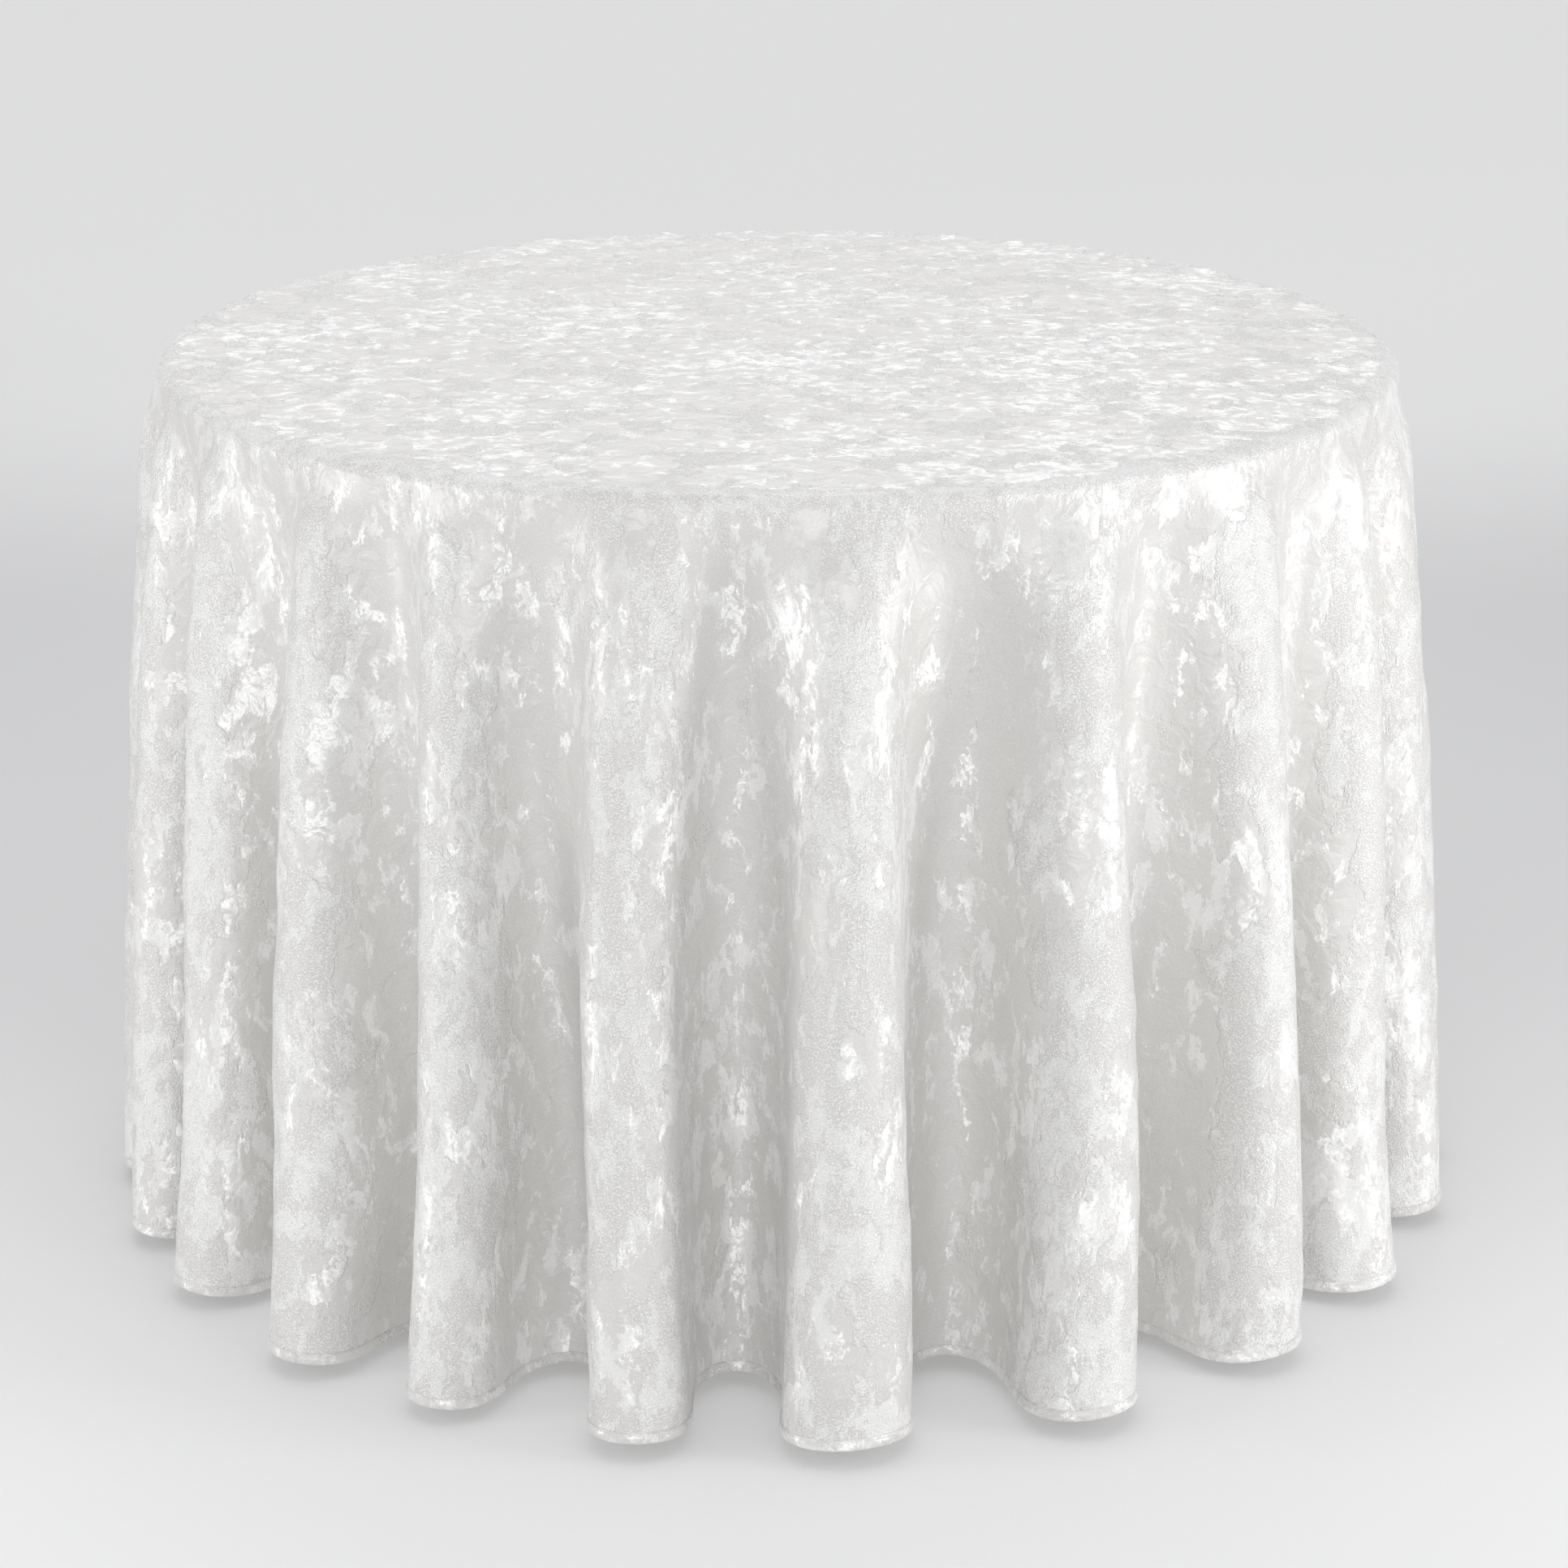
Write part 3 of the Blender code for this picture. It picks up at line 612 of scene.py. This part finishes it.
# ---- materials ----------------------------------------------------------
class Nodes:
    """Short calls for building a material's node tree."""

    def __init__(self, name):
        self.material = bpy.data.materials.new(name)
        self.material.use_nodes = True
        self.tree = self.material.node_tree
        self.shader = self.tree.nodes["Principled BSDF"]

    def add(self, kind, inputs=None, **settings):
        """A node with its settings, and its inputs given as values or sockets."""
        node = self.tree.nodes.new(kind)
        for key, value in settings.items():
            setattr(node, key, value)
        for key, value in (inputs or {}).items():
            self.put(node, key, value)
        return node

    def put(self, node, key, value):
        """Link a socket to an input, or write a value in it."""
        if isinstance(value, bpy.types.NodeSocket):
            self.tree.links.new(value, node.inputs[key])
        else:
            node.inputs[key].default_value = value

    def set(self, **values):
        """Set the shader's inputs, with an underscore for each space in a name."""
        for key, value in values.items():
            self.put(self.shader, key.replace("_", " "), value)

    def noise(self, vector, scale, detail=2.0, roughness=0.5, distortion=0.0):
        return self.add("ShaderNodeTexNoise", {"Vector": vector, "Scale": scale, "Detail": detail,
                                               "Roughness": roughness, "Distortion": distortion})

    def math(self, operation, a, b=0.0):
        return self.add("ShaderNodeMath", {0: a, 1: b}, operation=operation).outputs[0]

    def ramp(self, value, low, high, to_low=0.0, to_high=1.0):
        """A smooth step from to_low to to_high as value goes from low to high."""
        node = self.add("ShaderNodeMapRange", {"Value": value, "From Min": low, "From Max": high,
                                               "To Min": to_low, "To Max": to_high},
                        interpolation_type="SMOOTHSTEP")
        return node.outputs[0]

    def mix(self, factor, a, b):
        """A mix of two colours or vectors."""
        node = self.add("ShaderNodeMix", {0: factor, 6: a, 7: b}, data_type="RGBA")
        return node.outputs[2]

    def blend(self, factor, a, b):
        """A mix of two numbers."""
        node = self.add("ShaderNodeMix", {0: factor, 2: a, 3: b}, data_type="FLOAT")
        return node.outputs[0]

    def bump(self, height, distance, strength=1.0, normal=None):
        inputs = {"Height": height, "Distance": distance, "Strength": strength}
        if normal is not None:
            inputs["Normal"] = normal
        return self.add("ShaderNodeBump", inputs).outputs[0]

    def vector(self, operation, a, b=None, scale=None):
        inputs = {0: a}
        if b is not None:
            inputs[1] = b
        if scale is not None:
            inputs["Scale"] = scale
        return self.add("ShaderNodeVectorMath", inputs, operation=operation).outputs[0]


# Way the crushed patches of pile lie, as a tilt of the surface's normal.
NAP_DIRECTION = (0.0, -0.11, 0.21)
# Scale of the skirt's pattern: twice this across the folds, and once this down them.
DRAWN_SCALE = 0.52
# How many times finer than the plain pattern each part's patches are.
TOP_PATCHES = 1.55
SKIRT_PATCHES = 1.3
HEM_PATCHES = 1.6
# Features of each noise to a metre.
SWIRL_SCALE = 26.0
FEATHER_SCALE = 130.0
BLOT_SCALE = 41.0
TUFT_SCALE = 13.0
NAP_SCALE = 44.0
PILE_SCALE = 620.0
ZONE_SCALE = 5.5
CRUSH_SCALE = 52.0
# How far the noises push each other's places, in metres.
SWIRL_REACH = 0.050
HEM_SWIRL_REACH = 0.065
FEATHER_REACH = 0.018
SKIRT_FEATHER_REACH = 0.022
# Levels between which the pile turns from flat to lit, and from smooth to stippled.
LIT_LEVELS = (0.515, 0.560)
STIPPLE_LEVELS = (0.53, 0.60)
# Colours of the pile that lies flat, of the lit pile and of its tips: the lit pile is painted
# paler as a sheen, and its tips paler still as painted glints.
FLAT_PILE = (0.697, 0.685, 0.667, 1.0)
LIT_PILE_PAINTED_SHEEN = (0.832, 0.827, 0.818, 1.0)
PILE_TIP_PAINTED_GLINT = (0.915, 0.912, 0.908, 1.0)


def crushed_pile(n, place, scale, swirl_reach, feather_reach):
    """Patches, tufts and lean of the crushed pile, at places on the cloth."""
    swirl = n.noise(place, SWIRL_SCALE * scale, 3.0, 0.6).outputs["Color"]
    swirl = n.vector("SUBTRACT", swirl, (0.5, 0.5, 0.5))
    feather = n.noise(place, FEATHER_SCALE * scale, 3.0, 0.65).outputs["Color"]
    feather = n.vector("SUBTRACT", feather, (0.5, 0.5, 0.5))
    warped = n.vector("ADD", place, n.vector("SCALE", swirl, scale=swirl_reach / scale))
    warped = n.vector("ADD", warped, n.vector("SCALE", feather, scale=feather_reach / scale))
    blots = n.noise(warped, BLOT_SCALE * scale, 4.0, 0.62).outputs["Fac"]
    tufts = n.noise(warped, TUFT_SCALE * scale, 4.0, 0.65).outputs["Fac"]
    nap = n.noise(warped, NAP_SCALE * scale, 2.0, 0.55).outputs["Color"]
    return blots, tufts, nap


def drawn_down(n, place):
    """Places on the cloth with its patches drawn out twofold from the middle to the hem."""
    reach = n.add("ShaderNodeVectorMath", {0: place}, operation="LENGTH").outputs["Value"]
    apart = n.add("ShaderNodeSeparateXYZ", {0: n.vector("NORMALIZE", place)})
    x, y = apart.outputs["X"], apart.outputs["Y"]
    across = n.math("SUBTRACT", n.math("MULTIPLY", x, x), n.math("MULTIPLY", y, y))
    along = n.math("MULTIPLY", n.math("MULTIPLY", x, y), 2.0)
    turned = n.add("ShaderNodeCombineXYZ", {"X": across, "Y": along}).outputs[0]
    return n.vector("SCALE", turned, scale=n.math("MULTIPLY", reach, DRAWN_SCALE))


def velvet_material(name, coordinates):
    """Crushed velvet, on the cut cloth's own coordinates or on the object's."""
    n = Nodes(name)
    if coordinates == "cut":
        place = n.add("ShaderNodeUVMap", uv_map="cut").outputs[0]
        crest_pile_and_painted_light = n.add("ShaderNodeAttribute", attribute_name="crest_pile_and_painted_light").outputs["Fac"]
        skirt = n.add("ShaderNodeAttribute", attribute_name="skirt").outputs["Fac"]
        top_blots, top_tufts, top_nap = crushed_pile(n, place, TOP_PATCHES, SWIRL_REACH,
                                                     FEATHER_REACH)
        drawn = drawn_down(n, place)
        blots, tufts, nap = crushed_pile(n, drawn, SKIRT_PATCHES, SWIRL_REACH,
                                         SKIRT_FEATHER_REACH)
        blots = n.blend(skirt, top_blots, blots)
        tufts = n.blend(skirt, top_tufts, tufts)
        nap = n.mix(skirt, top_nap, nap)
    else:
        place = n.add("ShaderNodeTexCoord").outputs["Object"]
        crest_pile_and_painted_light = 0.5
        blots, tufts, nap = crushed_pile(n, place, HEM_PATCHES, HEM_SWIRL_REACH,
                                         FEATHER_REACH)
    # The crest attribute is above 0.5 on the crests and round the rim and below it in the
    # valleys. Through the lit mask and the tips, it paints highlights there and shade in the
    # valleys.
    ridge = n.math("SUBTRACT", crest_pile_and_painted_light, 0.5)
    pile = n.noise(place, PILE_SCALE, 2.0, 0.7).outputs["Fac"]

    zone = n.noise(place, ZONE_SCALE, 2.0, 0.5).outputs["Fac"]
    level = n.math("ADD", blots, n.math("MULTIPLY", n.math("SUBTRACT", zone, 0.5), 0.45))
    level = n.math("ADD", level, n.math("MULTIPLY", n.math("SUBTRACT", pile, 0.5), 0.10))
    level = n.math("ADD", level, n.math("MULTIPLY", ridge, 0.08))
    lit = n.ramp(level, *LIT_LEVELS)
    rough_tufts = n.math("ADD", tufts, n.math("MULTIPLY", ridge, 0.20))
    stipple = n.ramp(rough_tufts, *STIPPLE_LEVELS)

    lean = n.vector("SCALE", n.vector("SUBTRACT", nap, (0.5, 0.5, 0.5)), scale=2.6)
    lean = n.vector("SCALE", lean, scale=n.math("ADD", 0.07, n.math("MULTIPLY", lit, 0.30)))
    rise = n.vector("SCALE", NAP_DIRECTION, scale=lit)
    normal = n.add("ShaderNodeNewGeometry").outputs["Normal"]
    tilted = n.vector("NORMALIZE", n.vector("ADD", normal, n.vector("ADD", lean, rise)))
    crush = n.noise(place, CRUSH_SCALE, 2.0, 0.5, 0.8).outputs["Fac"]
    bumped = n.bump(crush, 0.005, 0.40, tilted)
    grain = n.math("MULTIPLY", n.math("ADD", 0.14, stipple), pile)
    final = n.bump(grain, 0.0012, 0.9, bumped)

    # Painted sheen and glints: the lit patches are painted paler than the flat pile, and the
    # stippled tips paler still.
    shade = n.mix(lit, FLAT_PILE, LIT_PILE_PAINTED_SHEEN)
    tip_glint = n.math("MULTIPLY", stipple, n.ramp(pile, 0.50, 0.64))
    shade = n.mix(tip_glint, shade, PILE_TIP_PAINTED_GLINT)
    speck = n.ramp(pile, 0.40, 0.70, 0.93, 1.05)
    color = n.add("ShaderNodeMix", {0: 1.0, 6: shade, 7: speck}, data_type="RGBA",
                  blend_type="MULTIPLY").outputs[2]
    rough = n.ramp(lit, 0.0, 1.0, 0.40, 0.27)
    n.set(Base_Color=color, Roughness=rough, Normal=final, Sheen_Weight=0.20,
          Sheen_Roughness=0.4)
    n.shader.inputs["Specular IOR Level"].default_value = 1.0
    n.shader.inputs["IOR"].default_value = 1.7
    return n.material


def thread_material():
    """Polyester sewing thread with its twist."""
    n = Nodes("polyester_thread")
    place = n.add("ShaderNodeTexCoord").outputs["Object"]
    twist = n.noise(place, 1500.0, 1.0).outputs["Fac"]
    n.set(Base_Color=n.mix(twist, (0.78, 0.77, 0.75, 1), (0.90, 0.89, 0.88, 1)), Roughness=0.42,
          Normal=n.bump(twist, 0.0002, 0.6), Sheen_Weight=0.2)
    return n.material


# Stretch of the wood's pattern along X, Y and Z, which draws its grain out along X.
GRAIN = (3.0, 55.0, 55.0)


def wood_material(name, pale, dark, rough_low, rough_high):
    """Sawn wood with its grain along X."""
    n = Nodes(name)
    place = n.add("ShaderNodeTexCoord").outputs["Object"]
    grain_place = n.vector("MULTIPLY", place, GRAIN)
    figure_place = n.vector("MULTIPLY", place, tuple(v / 4 for v in GRAIN))
    figure = n.noise(figure_place, 1.0, 4.0, 0.55, 1.2).outputs["Fac"]
    fibre = n.noise(grain_place, 6.0, 5.0, 0.7).outputs["Fac"]
    bands = n.ramp(n.math("PINGPONG", n.math("MULTIPLY", figure, 9.0), 1.0), 0.1, 0.9)
    tone = n.math("ADD", n.math("MULTIPLY", bands, 0.55), n.math("MULTIPLY", fibre, 0.45))
    pores = n.ramp(fibre, 0.30, 0.45)
    color = n.mix(n.ramp(tone, 0.15, 0.85), dark + (1.0,), pale + (1.0,))
    n.set(Base_Color=color, Roughness=n.ramp(tone, 0.2, 0.8, rough_high, rough_low),
          Normal=n.bump(pores, 0.0003, 0.5))
    return n.material


def plastic_material(name, pale, dark, cell, rough_low, rough_high, depth):
    """Moulded plastic or rubber with a fine pebble."""
    n = Nodes(name)
    place = n.add("ShaderNodeTexCoord").outputs["Object"]
    pebble = n.add("ShaderNodeTexVoronoi", {"Vector": place, "Scale": cell}).outputs["Distance"]
    wear = n.noise(place, 9.0, 4.0, 0.6).outputs["Fac"]
    n.set(Base_Color=n.mix(wear, dark + (1.0,), pale + (1.0,)),
          Roughness=n.ramp(wear, 0.35, 0.65, rough_low, rough_high),
          Normal=n.bump(pebble, depth, 0.6))
    return n.material


def paint_material(name):
    """Black powder coat with its slight orange peel."""
    n = Nodes(name)
    place = n.add("ShaderNodeTexCoord").outputs["Object"]
    peel = n.noise(place, 420.0, 2.0, 0.5).outputs["Fac"]
    scuff = n.noise(place, 14.0, 5.0, 0.65).outputs["Fac"]
    n.set(Base_Color=n.mix(scuff, (0.030, 0.030, 0.033, 1.0), (0.062, 0.062, 0.066, 1.0)),
          Roughness=n.ramp(scuff, 0.3, 0.7, 0.30, 0.46), Normal=n.bump(peel, 0.0004, 0.5))
    return n.material


def metal_material(name, pale, dark, spangle, drawn):
    """Zinc plating: faint crystals, drawn lines and uneven gloss."""
    n = Nodes(name)
    place = n.add("ShaderNodeTexCoord").outputs["Object"]
    crystals = n.add("ShaderNodeTexVoronoi", {"Vector": place, "Scale": spangle}).outputs["Color"]
    lines = n.noise(n.vector("MULTIPLY", place, drawn), 1.0, 3.0, 0.6).outputs["Fac"]
    cloud = n.noise(place, 30.0, 4.0, 0.6).outputs["Fac"]
    tone = n.math("ADD", n.math("MULTIPLY", crystals, 0.4), n.math("MULTIPLY", cloud, 0.6))
    n.set(Base_Color=n.mix(tone, dark + (1.0,), pale + (1.0,)), Metallic=1.0,
          Roughness=n.ramp(cloud, 0.3, 0.7, 0.28, 0.46), Normal=n.bump(lines, 0.0002, 0.4))
    return n.material


def table_materials():
    """A procedural material for every finish the table's parts are made in."""
    return {
        "plywood": wood_material("plywood_veneer", (0.66, 0.47, 0.28), (0.47, 0.30, 0.16),
                                 0.30, 0.42),
        "hardwood": wood_material("hardwood_rail", (0.70, 0.53, 0.34), (0.52, 0.36, 0.20),
                                  0.42, 0.58),
        "vinyl_edge": plastic_material("vinyl_bullnose", (0.21, 0.145, 0.095),
                                       (0.17, 0.115, 0.075), 900.0, 0.38, 0.52, 0.0002),
        "rubber": plastic_material("foot_rubber", (0.040, 0.040, 0.041), (0.024, 0.024, 0.025),
                                   1100.0, 0.62, 0.82, 0.0003),
        "powder_coat": paint_material("powder_coat_black"),
        "bracket_steel": metal_material("bracket_zinc", (0.62, 0.62, 0.63), (0.46, 0.46, 0.48),
                                        140.0, (40.0, 900.0, 900.0)),
        "zinc_steel": metal_material("fastener_zinc", (0.70, 0.69, 0.65), (0.52, 0.51, 0.48),
                                     260.0, (900.0, 900.0, 60.0)),
    }


# ---- build --------------------------------------------------------------
cloth, points, normals = make_cloth()
hem, edge, up, out = make_hem(points, normals)
stitches = make_stitches(edge, up, out)

velvet = velvet_material("crushed_velvet", "cut")
hem_velvet = velvet_material("hem_velvet", "object")
thread = thread_material()
cloth.data.materials.append(velvet)
hem.data.materials.append(hem_velvet)
stitches.data.materials.append(thread)
finishes = table_materials()
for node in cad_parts.values():
    finish = node.data.materials[0].name
    if finish in finishes:
        node.data.materials[0] = finishes[finish]
for piece in (cloth, hem, stitches):
    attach(piece, "cloth")
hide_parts("tablecloth")
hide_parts("hem_band")


# ---- floor, backdrop and light -----------------------------------------
FLOOR_REACH = 14.0
BEND_START = 3.4
BEND_RADIUS = 3.0
BEND_STEPS = 16
WALL_HEIGHT = 9.0
# Darkest and palest paper of each part; the far part, on the floor behind the table, is painted
# darker as shade.
FLOOR_PAPER = ((0.510, 0.510, 0.514, 1.0), (0.530, 0.530, 0.532, 1.0))
FAR_PAPER_PAINTED_SHADE = ((0.44, 0.44, 0.450, 1.0), (0.455, 0.455, 0.463, 1.0))
WALL_PAPER = ((0.90, 0.90, 0.905, 1.0), (0.92, 0.92, 0.922, 1.0))
# Depths between which one part becomes the next.
FLOOR_TO_FAR = (-0.9, 0.5)
FAR_TO_WALL = (1.7, 3.2)
# Glow of the floor and of the wall, as (from depth, to depth, from strength, to strength):
# painted light, which lightens the floor's shadow under the hem and brightens the wall.
FLOOR_GLOW = (-1.0, 0.6, 0.36, 0.23)
WALL_GLOW = (1.5, 4.3, 0.0, 0.19)


def make_backdrop():
    """A pale floor, lit a little from within, that curves up into a wall behind; its glow is
    painted light, and its darker floor behind the table is painted shade.
    """
    profile = [(-FLOOR_REACH, 0.0), (BEND_START, 0.0)]
    for i in range(1, BEND_STEPS + 1):
        turn = math.pi / 2 * i / BEND_STEPS
        profile.append((BEND_START + BEND_RADIUS * math.sin(turn),
                        BEND_RADIUS * (1 - math.cos(turn))))
    profile.append((BEND_START + BEND_RADIUS, WALL_HEIGHT))
    vertices = [(x, y, z) for y, z in profile for x in (-FLOOR_REACH, FLOOR_REACH)]
    faces = [(2 * i, 2 * i + 1, 2 * i + 3, 2 * i + 2) for i in range(len(profile) - 1)]
    obj = mesh_object("backdrop", vertices, faces)
    obj.data.shade_smooth()
    n = Nodes("paper")
    place = n.add("ShaderNodeTexCoord").outputs["Object"]
    tooth = n.noise(place, 180.0, 3.0).outputs["Fac"]
    depth = n.add("ShaderNodeSeparateXYZ", {0: place}).outputs["Y"]
    floor = n.mix(tooth, *FLOOR_PAPER)
    far = n.mix(tooth, *FAR_PAPER_PAINTED_SHADE)
    wall = n.mix(tooth, *WALL_PAPER)
    # Painted shade: the paper is darker on the floor behind the table.
    paper = n.mix(n.ramp(depth, *FLOOR_TO_FAR), floor, far)
    n.set(Base_Color=n.mix(n.ramp(depth, *FAR_TO_WALL), paper, wall), Roughness=0.9)
    glow = n.math("ADD", n.ramp(depth, *FLOOR_GLOW), n.ramp(depth, *FAR_TO_WALL, 0.0, -0.21))
    glow = n.math("ADD", glow, n.ramp(depth, *WALL_GLOW))
    n.set(Emission_Color=(1.0, 1.0, 1.0, 1.0), Emission_Strength=glow)
    n.shader.inputs["Specular IOR Level"].default_value = 0.2
    obj.data.materials.append(n.material)


# Each light as (name, place, target, size, watts).
SOFTBOXES = (
    ("softbox_left", (-2.1, -1.0, 0.80), (0.0, -0.2, 0.40), (0.7, 1.5), 12.5),
    ("softbox_right", (2.1, -1.0, 0.80), (0.0, -0.2, 0.40), (0.7, 1.5), 19.5),
    ("softbox_back", (-0.3, 2.1, 2.5), (0.0, 0.1, 0.7), (3.0, 1.2), 21.0),
    ("softbox_front", (0.0, -6.5, 1.0), (0.0, 0.0, 0.3), (5.0, 1.6), 96.0),
    ("softbox_top", (0.0, -0.4, 3.3), (0.0, -0.4, 0.7), (2.8, 3.0), 27.0),
)
ROOM_COLOR = (0.985, 0.99, 1.0, 1.0)
ROOM_STRENGTH = 0.42


def add_lights():
    """The softboxes, and a dim even light from all round."""
    for name, location, target, size, watts in SOFTBOXES:
        data = bpy.data.lights.new(name, "AREA")
        data.shape = "RECTANGLE"
        data.size, data.size_y = size
        data.energy = watts
        obj = bpy.data.objects.new(name, data)
        obj.location = location
        aim = Vector(target) - obj.location
        obj.rotation_euler = aim.to_track_quat("-Z", "Y").to_euler()
        obj.visible_camera = False
        bpy.context.scene.collection.objects.link(obj)
    world = bpy.data.worlds.new("studio")
    bpy.context.scene.world = world
    world.use_nodes = True
    background = world.node_tree.nodes["Background"]
    background.inputs["Color"].default_value = ROOM_COLOR
    background.inputs["Strength"].default_value = ROOM_STRENGTH
    bpy.context.scene.view_settings.view_transform = "Standard"


make_backdrop()
add_lights()
